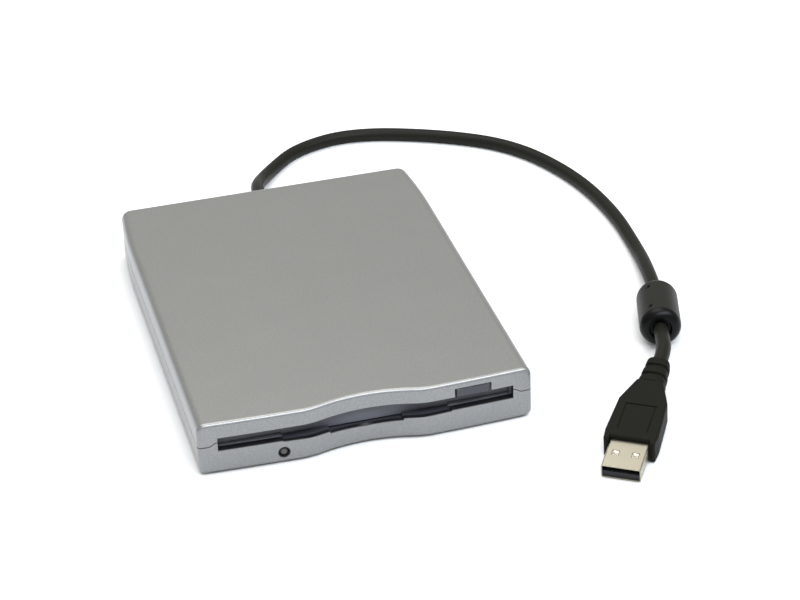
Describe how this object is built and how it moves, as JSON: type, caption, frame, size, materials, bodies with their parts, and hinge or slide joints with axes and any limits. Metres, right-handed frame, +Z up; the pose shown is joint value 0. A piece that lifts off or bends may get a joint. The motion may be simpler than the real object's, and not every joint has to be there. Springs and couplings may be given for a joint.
{
  "type": "external floppy disk drive",
  "caption": "Slim portable floppy disk drive with a waved front, sprung slot door, eject button and a captive USB cable with a ferrite bead.",
  "frame": {"origin": "on the table under the middle of the case, without the cable", "axes": "+Y from the front slot towards the back, +X to the right seen from the front, +Z up"},
  "size_m": [0.1719, 0.2447, 0.018],
  "materials": {
    "silver_paint": "satin silver paint on moulded plastic",
    "dark_blue_plastic": "fine matt",
    "black_plastic": "matt",
    "black_rubber": "matt",
    "cable_jacket": "soft satin",
    "zinc_screw": "zinc plated",
    "black_screw": "black oxide",
    "sheet_steel": "zinc coated sheet",
    "spring_steel": "drawn wire",
    "bright_steel": "ground",
    "brass_part": "machined",
    "copper_wire": "enamelled copper",
    "magnet_grey": "sintered",
    "ferrite_grey": "sintered",
    "board_green": "solder mask on glass fibre",
    "chip_black": "moulded epoxy",
    "ceramic_tan": "ceramic",
    "white_plastic": "moulded",
    "brown_flex": "polyimide film",
    "engineering_plastic": "glass filled",
    "lamp_lens": "diffused",
    "plug_metal": "nickel plated",
    "gold_contact": "gold flash"
  },
  "bodies": {
    "case": {"top_cover": "silver_paint", "bottom_cover": "silver_paint", "rubber_feet": "black_rubber", "case_screws": "black_screw", "mechanism_screws": "zinc_screw", "front_bezel": "black_plastic", "door_spring": "spring_steel", "eject_springs": "spring_steel", "lamp_ring": "black_plastic", "access_lamp": "lamp_lens", "chassis": "sheet_steel", "shield_plate": "sheet_steel", "motor_board": "board_green", "motor_coils": "copper_wire", "spindle_bush": "brass_part", "thrust_plate": "bright_steel", "flat_cables": "brown_flex", "guide_rod": "bright_steel", "stepper_can": "sheet_steel", "head_flex": "brown_flex", "sensor_switches": "black_plastic", "control_board": "board_green", "board_chips": "chip_black", "board_parts": "ceramic_tan", "flex_connectors": "white_plastic", "board_screws": "zinc_screw", "usb_board": "board_green", "wire_header": "white_plastic", "data_wires": "white_plastic", "cable_gland": "black_rubber", "cable_inner_end": "cable_jacket", "usb_cable": "cable_jacket", "ferrite_bead": "cable_jacket", "ferrite_core": "ferrite_grey", "plug_strain_relief": "cable_jacket", "plug_body": "black_plastic", "plug_shell": "plug_metal", "plug_tongue": "black_plastic", "plug_contacts": "gold_contact"},
    "door": {"door_flap": "dark_blue_plastic"},
    "eject": {"eject_button": "silver_paint", "eject_slider": "sheet_steel"},
    "holder": {"disk_holder": "sheet_steel", "lever_spring": "spring_steel"},
    "shutter_lever": {"shutter_lever": "sheet_steel"},
    "spindle": {"rotor_yoke": "sheet_steel", "motor_magnet": "magnet_grey", "spindle_shaft": "bright_steel", "hub_chuck": "black_plastic", "drive_pin": "bright_steel"},
    "lead_screw": {"lead_screw": "bright_steel", "stepper_magnet": "magnet_grey"},
    "carriage": {"head_carriage": "engineering_plastic", "lower_head": "ceramic_tan", "arm_spring": "spring_steel"},
    "upper_arm": {"upper_head_arm": "engineering_plastic", "upper_head": "ceramic_tan"},
    "write_protect_plunger": {"write_protect_plunger": "white_plastic"},
    "density_plunger": {"density_plunger": "white_plastic"},
    "disk_in_plunger": {"disk_in_plunger": "white_plastic"}
  },
  "joints": [
    {"name": "door_swing", "type": "hinge", "parent": "case", "child": "door", "pos_m": [0, -0.06553, 0.01295], "axis": [1, 0, 0], "range_deg": [0, 85], "stiffness_Nm_per_rad": 0.0006, "springref_deg": -28.65},
    {"name": "eject_slide", "type": "slide", "parent": "case", "child": "eject", "axis": [0, -1, 0], "range_m": [0, 0.0042], "deforming": ["eject_springs"]},
    {"name": "holder_drop", "type": "slide", "parent": "case", "child": "holder", "axis": [0, 0, -1], "range_m": [0, 0.0024]},
    {"name": "shutter_lever_swing", "type": "hinge", "parent": "holder", "child": "shutter_lever", "pos_m": [-0.017, 0.026, 0.0135], "axis": [0, 0, -1], "range_deg": [0, 90], "stiffness_Nm_per_rad": 0.0006, "springref_deg": -22.92},
    {"name": "spindle_spin", "type": "hinge", "parent": "case", "child": "spindle", "pos_m": [0, -0.01613, 0.005], "axis": [0, 0, 1], "continuous": true},
    {"name": "lead_screw_turn", "type": "hinge", "parent": "case", "child": "lead_screw", "pos_m": [0.014, 0.04807, 0.0084], "axis": [0, 1, 0], "range_deg": [0, 1776]},
    {"name": "head_travel", "type": "slide", "parent": "case", "child": "carriage", "axis": [0, -1, 0], "range_m": [0, 0.0148], "deforming": ["head_flex"]},
    {"name": "upper_arm_swing", "type": "hinge", "parent": "carriage", "child": "upper_arm", "pos_m": [0, 0.04987, 0.0104], "axis": [1, 0, 0], "range_deg": [0, 10.65]},
    {"name": "write_protect_plunger_press", "type": "slide", "parent": "case", "child": "write_protect_plunger", "axis": [0, 0, -1], "range_m": [0, 0.001], "stiffness_N_per_m": 60, "springref_m": -0.001},
    {"name": "density_plunger_press", "type": "slide", "parent": "case", "child": "density_plunger", "axis": [0, 0, -1], "range_m": [0, 0.001], "stiffness_N_per_m": 60, "springref_m": -0.001},
    {"name": "disk_in_plunger_press", "type": "slide", "parent": "case", "child": "disk_in_plunger", "axis": [0, 0, -1], "range_m": [0, 0.001], "stiffness_N_per_m": 60, "springref_m": -0.001}
  ],
  "couplings": [
    {"joint": "holder_drop", "follows": "eject_slide", "ratio": 0.57143},
    {"joint": "upper_arm_swing", "follows": "eject_slide", "rad_per_m": 44.256},
    {"joint": "lead_screw_turn", "follows": "head_travel", "rad_per_m": 2094.4}
  ]
}
